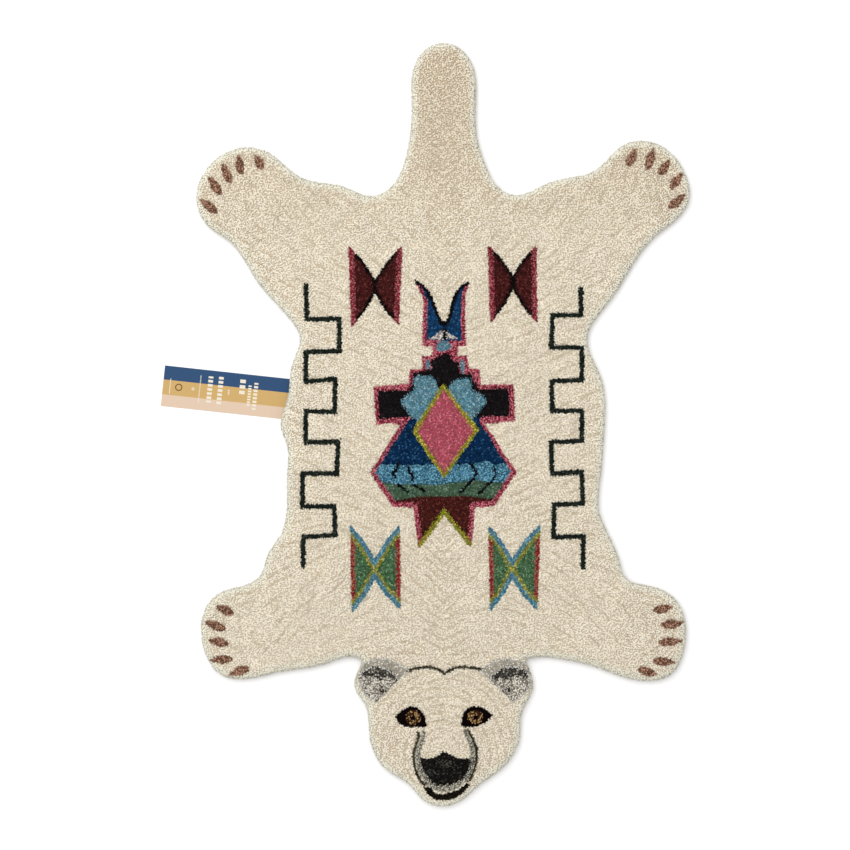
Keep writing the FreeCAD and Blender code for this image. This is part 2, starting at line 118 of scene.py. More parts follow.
def carry(piece, body, bend):
    """piece follows the body that its solid belongs to; a piece within bend of that body's fold stays in
    place, unparented.
    """
    if body == "trunk":
        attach(piece, body)
        return
    point, outward, _ = hinge_frame(body)
    places = np.empty(len(piece.data.vertices) * 3)
    piece.data.vertices.foreach_get("co", places)
    nearest = ((places.reshape(-1, 3) - point) @ outward).min()
    if nearest < bend:
        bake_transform(piece)
    else:
        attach(piece, body)


def finished(name, mesh, material, body, stands_for, bend=BEND):
    """A finished piece: in the scene, painted, carried and standing for its solids."""
    piece = bpy.data.objects.new(name, mesh)
    bpy.context.scene.collection.objects.link(piece)
    if material is not None:
        mesh.materials.clear()
        mesh.materials.append(material)
    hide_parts(*stands_for)
    carry(piece, body, bend)
    return piece


print("folds:", ", ".join(sorted(HINGES)))

# %% [markdown]
# ## Outlines
#
# Each solid is a flat slab, so its shape is told by the rim of its top face. The rim is
# read as short directed segments with the solid on their left, which gives both the
# outward direction at each place and an inside test by counting crossings.


# %% Reading a solid's outline
def rim_segments(node, step):
    """The rim of a slab's top face as (n, 2, 2) segments no longer than step, solid on the left."""
    shell = bmesh.new()
    shell.from_mesh(node.data)
    bmesh.ops.remove_doubles(shell, verts=shell.verts, dist=1e-6)
    top = max(vertex.co.z for vertex in shell.verts)
    lids = {f for f in shell.faces if f.normal.z > 0.9 and all(top - v.co.z < 1e-5 for v in f.verts)}
    segments = []
    for edge in shell.edges:
        sides = [face for face in edge.link_faces if face in lids]
        if len(sides) != 1:
            continue
        corner = next(loop for loop in sides[0].loops if loop.edge == edge)
        start = np.array(corner.vert.co.xy)
        end = np.array(corner.link_loop_next.vert.co.xy)
        count = max(1, math.ceil(np.linalg.norm(end - start) / step))
        stops = [start + (end - start) * k / count for k in range(count + 1)]
        segments += list(zip(stops[:-1], stops[1:]))
    shell.free()
    return np.array(segments)


def inside(points, segments):
    """Which points lie within the rim, by counting its crossings of a ray along +X."""
    result = np.zeros(len(points), bool)
    for first in range(0, len(points), 4000):
        some = points[first:first + 4000]
        x, y = some[:, 0][:, None], some[:, 1][:, None]
        (x0, y0), (x1, y1) = segments[:, 0].T, segments[:, 1].T
        spans = (y0 > y) != (y1 > y)
        rise = np.where(y1 == y0, 1, y1 - y0)
        meets = x0 + (y - y0) * (x1 - x0) / rise
        result[first:first + 4000] = (spans & (meets > x)).sum(axis=1) % 2 == 1
    return result


def outward_ways(segments):
    """Unit directions out of the solid, one per segment."""
    run = segments[:, 1] - segments[:, 0]
    length = np.maximum(np.linalg.norm(run, axis=1), 1e-9)[:, None]
    return np.stack([run[:, 1], -run[:, 0]], axis=1) / length


def tree_of(points):
    """A search tree over flat points."""
    tree = kdtree.KDTree(len(points))
    for number, point in enumerate(points):
        tree.insert((point[0], point[1], 0), number)
    tree.balance()
    return tree


def distances(points, tree):
    """Distance to, and number of, the nearest point of the tree."""
    found = [tree.find((p[0], p[1], 0)) for p in points]
    return np.array([f[2] for f in found]), np.array([f[1] for f in found])


print("outline helpers ready")

# %% The rug's own outline, without the folds
LIMBS = ["head", "tail", "hind_paw_left", "hind_paw_right", "fore_paw_left", "fore_paw_right"]
CLOTH_RIMS = {body: rim_segments(nodes[f"tufting_cloth_{body}"], MM) for body in ["trunk", *LIMBS]}
edge_points = []
edge_ways = []
edge_length = 0.0
for body, rim in CLOTH_RIMS.items():
    middles = rim.mean(axis=1)
    others = np.concatenate([other.mean(axis=1) for name, other in CLOTH_RIMS.items() if name != body])
    free = distances(middles, tree_of(others))[0] > CREASE
    edge_points.append(middles[free])
    edge_ways.append(outward_ways(rim)[free])
    edge_length += np.linalg.norm(rim[free, 1] - rim[free, 0], axis=1).sum()
edge_points = np.concatenate(edge_points)
edge_ways = np.concatenate(edge_ways)
EDGE_TREE = tree_of(edge_points)
print("outline:", len(edge_points), "points,", round(edge_length, 2), "m round")

# %% [markdown]
# ## The bed
#
# The bed is a closed shell with its top just below the tuft tips. Seen close up, cut pile
# doesn't end in a wall: the outermost tufts lean out and the top rolls over. The bed
# gets that roll from the distance to the rug's edge, and the tufts then follow its slope.
# A constrained triangulation keeps the colour outlines exact and the inner mesh even.


# %% Building a bed
def bed_points(segments, step, rings):
    """Inner points of a bed: an even grid, and rings beside the rug's edge."""
    low = segments.reshape(-1, 2).min(axis=0)
    high = segments.reshape(-1, 2).max(axis=0)
    columns = np.arange(low[0], high[0], step)
    rows = np.arange(low[1], high[1], step * 0.87)
    grid = [(x + (step / 2 if k % 2 else 0), y) for k, y in enumerate(rows) for x in columns]
    points = np.array(grid).reshape(-1, 2)
    near = (edge_points > low - step).all(axis=1) & (edge_points < high + step).all(axis=1)
    if rings and near.any():
        far_enough = distances(points, EDGE_TREE)[0] > EDGE_ROUND
        points = points[far_enough]
        for number, reach in enumerate((0.8 * MM, 2.2 * MM, 4.2 * MM, 6.8 * MM)):
            every = 4 + number % 2
            ring = edge_points[near][number::every] - edge_ways[near][number::every] * reach
            off = distances(ring, EDGE_TREE)[0] > reach * 0.85
            points = np.concatenate([points, ring[off]])
    points = points[inside(points, segments)]
    clear = distances(points, tree_of(segments.reshape(-1, 2)))[0] > 0.6 * MM
    return points[clear]


def flat_mesh(segments, inner):
    """Triangles that fill the rim: (points, triangles), seen from above anticlockwise."""
    numbers = {}
    points = []
    edges = []
    for segment in segments:
        ends = []
        for point in segment:
            key = (round(point[0], 6), round(point[1], 6))
            if key not in numbers:
                numbers[key] = len(points)
                points.append(Vector(key))
            ends.append(numbers[key])
        if ends[0] != ends[1]:
            edges.append(tuple(ends))
    points += [Vector(p) for p in inner]
    flat, _, faces, *_ = geometry.delaunay_2d_cdt(points, edges, [], 1, 1e-7)
    flat = np.array([tuple(p) for p in flat])
    faces = np.array([f for f in faces if len(f) == 3])
    faces = faces[inside(flat[faces].mean(axis=1), segments)]
    a, b, c = flat[faces[:, 0]], flat[faces[:, 1]], flat[faces[:, 2]]
    turn = (b[:, 0] - a[:, 0]) * (c[:, 1] - a[:, 1]) - (b[:, 1] - a[:, 1]) * (c[:, 0] - a[:, 0])
    faces[turn < 0] = faces[turn < 0][:, ::-1]
    used = np.unique(faces[np.abs(turn) > 1e-12])
    renumber = np.full(len(flat), -1)
    renumber[used] = np.arange(len(used))
    return flat[used], renumber[faces[np.abs(turn) > 1e-12]]


def slab(name, segments, inner, heights, foot):
    """A closed mesh over the rim, with its top at heights(points) and its underside at foot."""
    flat, faces = flat_mesh(segments, inner)
    flat, tops = heights(flat)
    count = len(flat)
    places = np.concatenate([np.column_stack([flat, tops]), np.column_stack([flat, np.full(count, foot)])])
    sides = np.concatenate([faces[:, [0, 1]], faces[:, [1, 2]], faces[:, [2, 0]]])
    known = {tuple(side) for side in sides}
    walls = [(b, a, a + count, b + count) for a, b in known if (b, a) not in known]
    polygons = [tuple(f) for f in faces] + [tuple(f[::-1] + count) for f in faces] + walls
    mesh = bpy.data.meshes.new(name)
    mesh.from_pydata(places.tolist(), [], polygons)
    mesh.attributes.new("pile_face", "BOOLEAN", "FACE").data.foreach_set(
        "value", [k < len(faces) for k in range(len(polygons))])
    # On a pile bed, up paints it with the painted shade of the tufts' lower parts.
    mesh.attributes.new("up", "FLOAT", "POINT").data.foreach_set("value", [BED_UP] * len(places))
    mesh.shade_smooth()
    return mesh


def rolled(flat):
    """Heights of the bed, which rolls down at the rug's edge, and its points drawn in a little there."""
    reach, number = distances(flat, EDGE_TREE)
    share = np.clip(1 - reach / EDGE_ROUND, 0, 1)
    drop = EDGE_DROP * (1 - np.sqrt(1 - share**2))
    return flat - edge_ways[number] * (EDGE_INSET * share**2)[:, None], BED_TOP - drop


def level(height):
    """Heights of a flat cloth."""
    return lambda flat: (flat, np.full(len(flat), height))


print("bed helpers ready")

# %% [markdown]
# ## Tufts
#
# A tuft is a short five-sided brush, slightly wider at its cut end, with a low point. Its
# mesh holds one number, up, that runs from 0 at the foot to 1 at the tip, so that painted
# shade can darken the colour deep in the pile. Three variants are enough, because each copy
# is turned, leaned and scaled on its own.


# %% Three tufts
def tuft(name, width, tip, twist):
    """One cut tuft as a closed mesh of a few triangles."""
    rings = [(0.72, -TUFT_FOOT, 0.0), (width, 0.86 * TUFT_HEIGHT, 0.9)]
    places = []
    ups = []
    for ring, (share, z, up) in enumerate(rings):
        for k in range(5):
            angle = 2 * math.pi * (k + twist * ring) / 5
            reach = share * TUFT_RADIUS
            places.append((reach * math.cos(angle), reach * math.sin(angle), z))
            ups.append(up)
    places.append((tip * TUFT_RADIUS, 0, TUFT_HEIGHT))
    ups.append(1.0)
    sides = [(k, (k + 1) % 5, 5 + (k + 1) % 5, 5 + k) for k in range(5)]
    caps = [(5 + k, 5 + (k + 1) % 5, 10) for k in range(5)] + [(4, 3, 2, 1, 0)]
    mesh = bpy.data.meshes.new(name)
    mesh.from_pydata(places, [], sides + caps)
    mesh.attributes.new("up", "FLOAT", "POINT").data.foreach_set("value", ups)
    mesh.shade_smooth()
    return bpy.data.objects.new(name, mesh)


TUFT_SHAPES = [("tuft plain", 1.0, 0.1, 0.0), ("tuft twisted", 0.92, 0.45, 0.3),
               ("tuft splayed", 1.12, 0.3, -0.2)]
tufts = bpy.data.collections.new("Tufts")
for shape in TUFT_SHAPES:
    tufts.objects.link(tuft(*shape))

# %% [markdown]
# ## A node maker
#
# Node trees are easier to read as code when a socket can be added and multiplied. Wire
# wraps a socket and turns arithmetic into Math nodes; Maker adds any other node in
# one call, settings first and then its sockets.


# %% Wire and Maker
class Wire:
    """A socket that takes part in arithmetic."""

    def __init__(self, maker, socket):
        self.maker = maker
        self.socket = socket

    def maths(self, operation, first, second):
        return self.maker.add("ShaderNodeMath", {"operation": operation}, {0: first, 1: second})

    def __add__(self, other):
        return self.maths("ADD", self, other)

    def __sub__(self, other):
        return self.maths("SUBTRACT", self, other)

    def __rsub__(self, other):
        return self.maths("SUBTRACT", other, self)

    def __mul__(self, other):
        return self.maths("MULTIPLY", self, other)

    def __lt__(self, other):
        return self.maths("LESS_THAN", self, other)

    def __gt__(self, other):
        return self.maths("GREATER_THAN", self, other)

    def clamped(self):
        return self.maker.add("ShaderNodeClamp", {}, {"Value": self})


class Maker:
    """Adds nodes to one tree."""

    def __init__(self, tree):
        self.tree = tree

    def add(self, kind, settings, sockets, out=0):
        node = self.tree.nodes.new(kind)
        for key, value in settings.items():
            setattr(node, key, value)
        for key, value in sockets.items():
            if isinstance(value, Wire):
                self.tree.links.new(value.socket, node.inputs[key])
            else:
                node.inputs[key].default_value = value
        return Wire(self, node.outputs[out])

    def mixed(self, share, first, second, how="MIX"):
        """A mix of two colours."""
        return self.add("ShaderNodeMix", {"data_type": "RGBA", "blend_type": how},
                        {0: share, 6: first, 7: second}, 2)


print("node maker ready")

# %% [markdown]
# ## Growing the pile
#
# Machine-even rows would look woven. The tufting gun leaves its yarns close but never in
# line, which a Poisson-disk scatter copies well: random places that keep their
# distance. Each tuft stands square to the bed, leans a few degrees, and is cut lower
# along the carved strokes and where two colours meet. What the colour needs to know, its
# dye and where shade and light are painted on it, is stored on the tuft before it becomes
# plain mesh.


# %% The cut-pile tree
def pile_tree():
    """Geometry nodes that grow tufts on the faces marked pile_face."""
    tree = bpy.data.node_groups.new("Cut pile", "GeometryNodeTree")
    tree.interface.new_socket(name="Geometry", in_out="OUTPUT", socket_type="NodeSocketGeometry")
    kinds = {
        "Bed": "Geometry", "Pitch": "Float", "Girth": "Float", "Lean": "Float", "Seam Gap": "Float",
        "Seam Cut": "Float", "Seed": "Int", "From Y": "Float", "To Y": "Float",
        "Keep Bed": "Bool", "Strokes": "Object", "Colour Edge": "Object", "Rug Edge": "Object",
        "Tufts": "Collection", "Material": "Material",
    }
    for name, kind in kinds.items():
        tree.interface.new_socket(name=name, in_out="INPUT", socket_type=f"NodeSocket{kind}")
    make = Maker(tree)
    entry = tree.nodes.new("NodeGroupInput")
    given = {name: Wire(make, entry.outputs[name]) for name in kinds}

    marked = make.add("GeometryNodeInputNamedAttribute", {"data_type": "BOOLEAN"}, {"Name": "pile_face"})
    crowd = make.add("ShaderNodeMath", {"operation": "DIVIDE"},
                     {0: CROWDING, 1: given["Pitch"] * given["Pitch"]})
    scatter = tree.nodes.new("GeometryNodeDistributePointsOnFaces")
    scatter.distribute_method = "POISSON"
    for key, value in (("Mesh", given["Bed"]), ("Selection", marked), ("Distance Min", given["Pitch"]),
                       ("Density Max", crowd), ("Seed", given["Seed"])):
        tree.links.new(value.socket, scatter.inputs[key])
    place = make.add("GeometryNodeInputPosition", {}, {})
    height_y = make.add("ShaderNodeSeparateXYZ", {}, {0: place}, 1)
    flat = make.add("ShaderNodeVectorMath", {"operation": "MULTIPLY"}, {0: place, 1: (1, 1, 0)})

    def away(lines):
        """Distance from the lines, seen from above."""
        shape = make.add("GeometryNodeObjectInfo", {"transform_space": "ORIGINAL"},
                         {"Object": given[lines]}, 4)
        return make.add("GeometryNodeProximity", {"target_element": "EDGES"},
                        {0: shape, "Source Position": flat}, 1)

    def nearness(lines, full, none):
        """1 within full of the lines, falling to 0 at none."""
        return make.add("ShaderNodeMapRange", {}, {"Value": away(lines), "From Min": full, "From Max": none,
                                                   "To Min": 1.0, "To Max": 0.0})

    def either(first, second):
        return make.add("FunctionNodeBooleanMath", {"operation": "OR"}, {0: first, 1: second})

    def below(first, second):
        return make.add("FunctionNodeCompare", {"operation": "LESS_THAN"}, {0: first, 1: second})

    outside = either(below(height_y, given["From Y"]), below(given["To Y"], height_y))
    outside = either(outside, below(away("Colour Edge"), given["Seam Gap"]))
    points = make.add("GeometryNodeDeleteGeometry", {"domain": "POINT"},
                      {"Geometry": Wire(make, scatter.outputs["Points"]), "Selection": outside})

    def random(low, high, seed, kind="FLOAT", out=1):
        node = tree.nodes.new("FunctionNodeRandomValue")
        node.data_type = kind
        first = {"FLOAT": 2, "INT": 4, "FLOAT_VECTOR": 0}[kind]
        node.inputs[first].default_value = low
        node.inputs[first + 1].default_value = high
        node.inputs["Seed"].default_value = seed
        return Wire(make, node.outputs[out])

    stroke = nearness("Strokes", 0.9 * MM, 1.7 * MM) * random(0.2, 1.3, 18).clamped()
    seam = nearness("Colour Edge", 0.5 * MM, 2.2 * MM)
    rim = nearness("Rug Edge", 0.0, 11.0 * MM)
    tone = random(0.0, 1.0, 11)
    second = random(0.0, 1.0, 12)
    tall = (random(0.9, 1.1, 13) - stroke * 0.4) - seam * given["Seam Cut"]
    size = make.add("ShaderNodeCombineXYZ", {}, {
        0: random(0.86, 1.14, 14) * given["Girth"], 1: random(0.86, 1.14, 15) * given["Girth"], 2: tall})

    chosen = tree.nodes.new("GeometryNodeCollectionInfo")
    chosen.inputs["Separate Children"].default_value = True
    chosen.inputs["Reset Children"].default_value = True
    tree.links.new(given["Tufts"].socket, chosen.inputs["Collection"])
    grown = make.add("GeometryNodeInstanceOnPoints", {}, {
        "Points": points, "Instance": Wire(make, chosen.outputs[0]), "Pick Instance": True,
        "Instance Index": random(0, 2, 16, "INT", 2),
        "Rotation": Wire(make, scatter.outputs["Rotation"]), "Scale": size})
    lean = make.add("ShaderNodeVectorMath", {"operation": "MULTIPLY"}, {
        0: random((-1, -1, -1), (1, 1, 1), 17, "FLOAT_VECTOR", 0),
        1: make.add("ShaderNodeCombineXYZ", {}, {0: given["Lean"], 1: given["Lean"], 2: math.pi})})
    grown = make.add("GeometryNodeRotateInstances", {}, {"Instances": grown, "Rotation": lean})
    # tone and second choose the yarn's shade of colour; rim and seam also place painted light and painted
    # shade.
    for name, value in (("tone", tone), ("second", second), ("stroke", stroke), ("rim", rim), ("seam", seam)):
        grown = make.add("GeometryNodeStoreNamedAttribute", {"data_type": "FLOAT", "domain": "INSTANCE"},
                         {"Geometry": grown, "Name": name, "Value": value})
    bed = make.add("GeometryNodeSwitch", {"input_type": "GEOMETRY"}, {0: given["Keep Bed"], 2: given["Bed"]})
    together = tree.nodes.new("GeometryNodeJoinGeometry")
    tree.links.new(grown.socket, together.inputs[0])
    tree.links.new(bed.socket, together.inputs[0])
    plain = make.add("GeometryNodeRealizeInstances", {}, {"Geometry": Wire(make, together.outputs[0])})
    painted = make.add("GeometryNodeSetMaterial", {}, {"Geometry": plain, "Material": given["Material"]})
    leave = tree.nodes.new("NodeGroupOutput")
    tree.links.new(painted.socket, leave.inputs[0])
    return tree


PILE_TREE = pile_tree()
PILE_KEYS = {item.name: item.identifier for item in PILE_TREE.interface.items_tree if item.in_out == "INPUT"}
print("cut-pile tree:", len(PILE_TREE.nodes), "nodes")


# %% Running the tree
def lines_object(name, segments):
    """Flat segments as a mesh of edges, for measuring distances."""
    mesh = bpy.data.meshes.new(name)
    ends = np.asarray(segments).reshape(-1, 2)
    mesh.from_pydata([(x, y, 0) for x, y in ends], [(k, k + 1) for k in range(0, len(ends), 2)], [])
    return bpy.data.objects.new(name, mesh)


def grow(bed, values):
    """The tree's result on a bed as a plain mesh, with these values for its named inputs."""
    holder = bpy.data.objects.new("bed being tufted", bed)
    bpy.context.scene.collection.objects.link(holder)
    modifier = holder.modifiers.new("Cut pile", "NODES")
    modifier.node_group = PILE_TREE
    for name, value in values.items():
        modifier[PILE_KEYS[name]] = value
    depsgraph = bpy.context.evaluated_depsgraph_get()
    result = bpy.data.meshes.new_from_object(holder.evaluated_get(depsgraph), preserve_all_data_layers=True,
                                             depsgraph=depsgraph)
    bpy.data.objects.remove(holder)
    return result


print("inputs:", ", ".join(PILE_KEYS))

# %% [markdown]
# ## Fur strokes
#
# Fine tan lines in the ivory field draw the fur. They follow the lie of a real coat:
# chevrons down the tail and the spine, slanting out over the legs, arches on the head.
# They are laid as short curved strokes along a field of directions, which is set by a few
# combs on the right half and mirrored to the left. A comb is its place in
# millimetres and the turn of the fur there in degrees.

# %% The lie of the fur
COMBS = [
    (8, 440, 38), (14, 380, 36), (14, 320, 38), (45, 300, 46), (12, 250, 47), (50, 255, 50),
    (18, 190, 42), (85, 285, 52), (120, 282, 58), (160, 290, 60), (150, 255, 47), (120, 240, 44),
    (195, 292, 66), (190, 262, 50), (205, 230, 34), (180, 205, 28), (165, 170, 24), (225, 258, 40),
    (238, 292, 72), (262, 318, 125), (288, 296, 135), (296, 262, 40), (262, 250, 22), (262, 286, 110),
    (240, 318, 100), (140, 95, 26), (75, 100, 20), (100, 60, 25), (120, 20, 34), (180, 90, 20),
    (185, 0, 24), (145, -60, 38), (190, -60, 20), (120, -110, 22), (60, -110, 40), (16, -150, 45),
    (16, -210, 47), (50, -190, 42), (60, -235, 20), (85, -150, 12), (150, -120, 172), (150, -160, 148),
    (190, -140, 165), (100, -225, 150), (130, -215, 138), (170, -200, 140), (200, -175, 158), (225, -205, 150),
    (250, -215, 168), (225, -245, 118), (270, -255, 80), (258, -285, 30), (290, -230, 130), (20, -270, 30),
    (70, -275, 165),
]
COMB_PLACES = np.array([(side * x, y) for x, y, _ in COMBS for side in (1, -1)]) * MM
COMB_TURNS = np.radians([2 * (turn if side > 0 else 180 - turn) for _, _, turn in COMBS for side in (1, -1)])
FACE_MIDDLE = np.array((-2.5, -412)) * MM
SPINE_X = -1.5 * MM


def fur_way(place):
    """The direction of the fur at a place, as a unit vector."""
    if place[1] < -290 * MM:
        spread = place - FACE_MIDDLE
        way = np.array([spread[1], -spread[0]])
        return way / max(np.linalg.norm(way), 1e-9)
    same_side = (COMB_PLACES[:, 0] > SPINE_X) == (place[0] > SPINE_X)
    weight = same_side / (((COMB_PLACES - place) ** 2).sum(axis=1) + (4 * MM) ** 2) ** 1.5
    turn = math.atan2((weight * np.sin(COMB_TURNS)).sum(), (weight * np.cos(COMB_TURNS)).sum()) / 2
    return np.array([math.cos(turn), math.sin(turn)])


def stroke_from(seed, length, bend):
    """A stroke through a seed as a list of places, one step apart."""
    halves = []
    for sense in (1, -1):
        place, way, half = seed.copy(), fur_way(seed) * sense, []
        turn = bend * sense
        for _ in range(int(length / 2 / STROKE_STEP)):
            fresh = fur_way(place)
            fresh = fresh if fresh @ way > 0 else -fresh
            way = np.array([fresh[0] - turn * fresh[1], fresh[1] + turn * fresh[0]])
            place = place + way * STROKE_STEP
            half.append(place)
        halves.append(half)
    return halves[1][::-1] + [seed] + halves[0]


print("combs:", len(COMBS), "on each side")


# %% Laying the strokes
def fur_strokes(rims, seed):
    """Strokes over the ivory fields, clear of each other and of the rug's edge."""
    shortest = 4
    per_radian = 57.3
    draw = np.random.default_rng(seed)
    strokes = []
    taken = np.zeros((0, 2))

    def lay(line, gap):
        """Keep the free part of a line around its middle, unless another stroke is nearer than gap."""
        nonlocal taken
        line = np.array(line)
        free = inside(line, rims) & (distances(line, EDGE_TREE)[0] > 7 * MM)
        if not free[len(line) // 2] or free.sum() < shortest:
            return
        start = end = len(line) // 2
        while start > 0 and free[start - 1]:
            start -= 1
        while end < len(line) - 1 and free[end + 1]:
            end += 1
        line = line[start:end + 1]
        if len(line) < shortest:
            return
        if len(taken) and min(np.sqrt(((taken - p) ** 2).sum(axis=1)).min() for p in line[::2]) < gap:
            return
        taken = np.concatenate([taken, line])
        strokes.append(line + draw.normal(0, 0.25 * MM, line.shape))

    for y in np.concatenate([np.arange(455, 190, -10.5), np.arange(-150, -285, -12.0)]) * MM:
        reach = (26 if y > 0.3 else 34) * MM
        for side in (1, -1):
            start = np.array([SPINE_X + side * 1.2 * MM, y + draw.uniform(-1.5, 1.5) * MM])
            line, place = [start], start
            for _ in range(int(draw.uniform(0.65, 1.0) * reach / STROKE_STEP)):
                way = fur_way(place)
                place = place + way * (STROKE_STEP * (1 if way[0] * side > 0 else -1))
                line.append(place)
            middle = line[len(line) // 2]
            if inside(np.array([middle]), rims)[0]:
                taken = np.concatenate([taken, np.array(line)])
                strokes.append(np.array(line))
    for radius in np.arange(20, 120, 9.5):
        turn = draw.uniform(0, 25)
        while turn < 360:
            span = draw.uniform(14, 30) / radius * per_radian
            angles = np.radians(np.arange(turn, turn + span, 2 / radius * per_radian))
            oval = np.column_stack([np.cos(angles), 1.06 * np.sin(angles)])
            arc = FACE_MIDDLE + oval * (radius + draw.normal()) * MM
            if (arc[:, 1] < -296 * MM).all():
                lay(arc, 4.5 * MM)
            turn += span + draw.uniform(5, 12) / radius * per_radian
    low, high = rims.reshape(-1, 2).min(axis=0), rims.reshape(-1, 2).max(axis=0)
    for _ in range(9000):
        seed_place = draw.uniform(low, high)
        if seed_place[1] > -288 * MM:
            crowded = 8.2 * MM if seed_place[1] > 0.3 else 9.4 * MM
            lay(stroke_from(seed_place, draw.uniform(16, 40) * MM, draw.normal(0, 0.05)), crowded)
    return strokes


ivory_rims = np.concatenate([
    rim_segments(nodes[f"ivory_pile_{body}"], OUTLINE_STEP) for body in ["trunk", *LIMBS]])
strokes = fur_strokes(ivory_rims, 5)
STROKE_LINES = lines_object("fur strokes", [pair for line in strokes for pair in zip(line[:-1], line[1:])])
EDGE_LINES = lines_object("rug edge", [
    pair for body, rim in CLOTH_RIMS.items()
    for pair in rim[distances(rim.mean(axis=1), EDGE_TREE)[0] < 0.3 * MM]])
print("fur strokes:", len(strokes), "total", round(sum(len(line) for line in strokes) * STROKE_STEP, 1), "m")

# %% [markdown]
# ## Dyes
#
# Wool scatters light deep between its fibres, so it has no shine and its colour changes
# from yarn to yarn. Each dye is one colour with a spread from tuft to tuft and, where the
# yarn was plied from two shades, a share of tufts in the second shade. On top of the dye
# the wool carries painted shade, darker at the tuft feet, on the bed, at the rug's very edge
# and along colour seams, and painted light, a paler band where the edge rolls over.


# %% Wool
GAIN = 1.18
PUPIL = 2.3 * MM
IVORY = (218, 209, 191)
TAN = (186, 170, 148)
TAIL_IVORY = (208, 197, 177)
TAIL_SHADE = (194, 179, 156)
FRINGE = (214, 211, 204)
# Painted light: the paler colour of the tufts where the rug's edge rolls over.
EDGE_LIGHT_COLOUR = (214, 210, 194)


def dye(red, green, blue, gain=GAIN):
    """A colour from its familiar 0 to 255 values, in linear light."""
    return tuple(min(1.0, gain * (c / 255) ** 2.2) for c in (red, green, blue)) + (1.0,)


def iris_middle(side):
    """The middle of one iris at the height of the cut pile."""
    points = np.array([tuple(v.co) for v in nodes["irises"].data.vertices if v.co.x * side > 0])
    low, high = points.min(axis=0), points.max(axis=0)
    return (float(low[0] + high[0]) / 2, float(low[1] + high[1]) / 2, BED_TOP + TUFT_HEIGHT)


def wool(name, colour, spread=0.2, second=None, share=0.0, deep=0.5, sheen=0.0):
    """Cut wool pile in one dye, with a share of its tufts in a second shade."""
    material = bpy.data.materials.new(name)
    material.use_nodes = True
    make = Maker(material.node_tree)
    shader = material.node_tree.nodes["Principled BSDF"]

    def stored(key):
        return make.add("ShaderNodeAttribute", {"attribute_name": key}, {}, 2)

    place = make.add("ShaderNodeTexCoord", {}, {}, 3)
    yarn = dye(*colour)
    if second is not None:
        yarn = make.mixed(stored("second") < share, yarn, dye(*second))
    if name == "ivory wool":
        towards_tail = make.add("ShaderNodeMapRange", {}, {
            "Value": make.add("ShaderNodeSeparateXYZ", {}, {0: place}, 1),
            "From Min": 0.22, "From Max": 0.38})
        tail_yarn = make.mixed(stored("second") < 0.3, dye(*TAIL_IVORY), dye(*TAIL_SHADE))
        yarn = make.mixed(towards_tail, yarn, tail_yarn)
        # Painted light: tufts within about 11 mm of the rug's edge, where the pile rolls over, are painted
        # paler.
        painted_edge_light = make.add("ShaderNodeMapRange", {}, {"Value": stored("rim"), "From Min": 0.1, "From Max": 0.5})
        yarn = make.mixed(painted_edge_light, yarn, dye(*EDGE_LIGHT_COLOUR))
        yarn = make.mixed(stored("stroke"), yarn, dye(*TAN))
    if name == "ear grey wool":
        yarn = make.mixed(stored("seam"), yarn, dye(*FRINGE))
    if name == "hazel wool":
        for eye in (-1, 1):
            middle = iris_middle(eye)
            away = make.add("ShaderNodeVectorMath", {"operation": "DISTANCE"}, {0: place, 1: middle}, 1)
            yarn = make.mixed(away < PUPIL, yarn, dye(30, 20, 16))
    patches = make.add("ShaderNodeTexNoise", {}, {"Vector": place, "Scale": 45.0, "Detail": 2.0})
    fibres = make.add("ShaderNodeTexNoise", {}, {"Vector": place, "Scale": 1900.0, "Detail": 1.0})
    # Painted shade: tufts are darker towards their feet, and the bed with them, where the pile shades itself.
    depth = stored("up") * deep + (1 - deep)
    lightness = depth * (stored("tone") * (2 * spread) + (1 - spread)) * (patches * 0.16 + 0.92)
    # Painted shade: the outermost tufts at the rug's edge and the tufts along a colour seam are darkened.
    painted_edge_shade = make.add("ShaderNodeMapRange", {}, {"Value": stored("rim"), "From Min": 0.7, "From Max": 1.0})
    lightness = lightness * (1.0 - stored("seam") * 0.14) * (fibres * 0.2 + 0.9) * (1.0 - painted_edge_shade * 0.4)
    grey = make.add("ShaderNodeCombineColor", {}, {0: lightness, 1: lightness, 2: lightness})
    painted = make.mixed(1.0, yarn, grey, "MULTIPLY")
    material.node_tree.links.new(painted.socket, shader.inputs["Base Color"])
    bump = make.add("ShaderNodeBump", {}, {"Strength": 0.35, "Distance": 0.0004, "Height": fibres})
    material.node_tree.links.new(bump.socket, shader.inputs["Normal"])
    shader.inputs["Roughness"].default_value = 0.95
    shader.inputs["Specular IOR Level"].default_value = 0.05
    shader.inputs["Sheen Weight"].default_value = sheen
    shader.inputs["Sheen Roughness"].default_value = 0.6
    return material


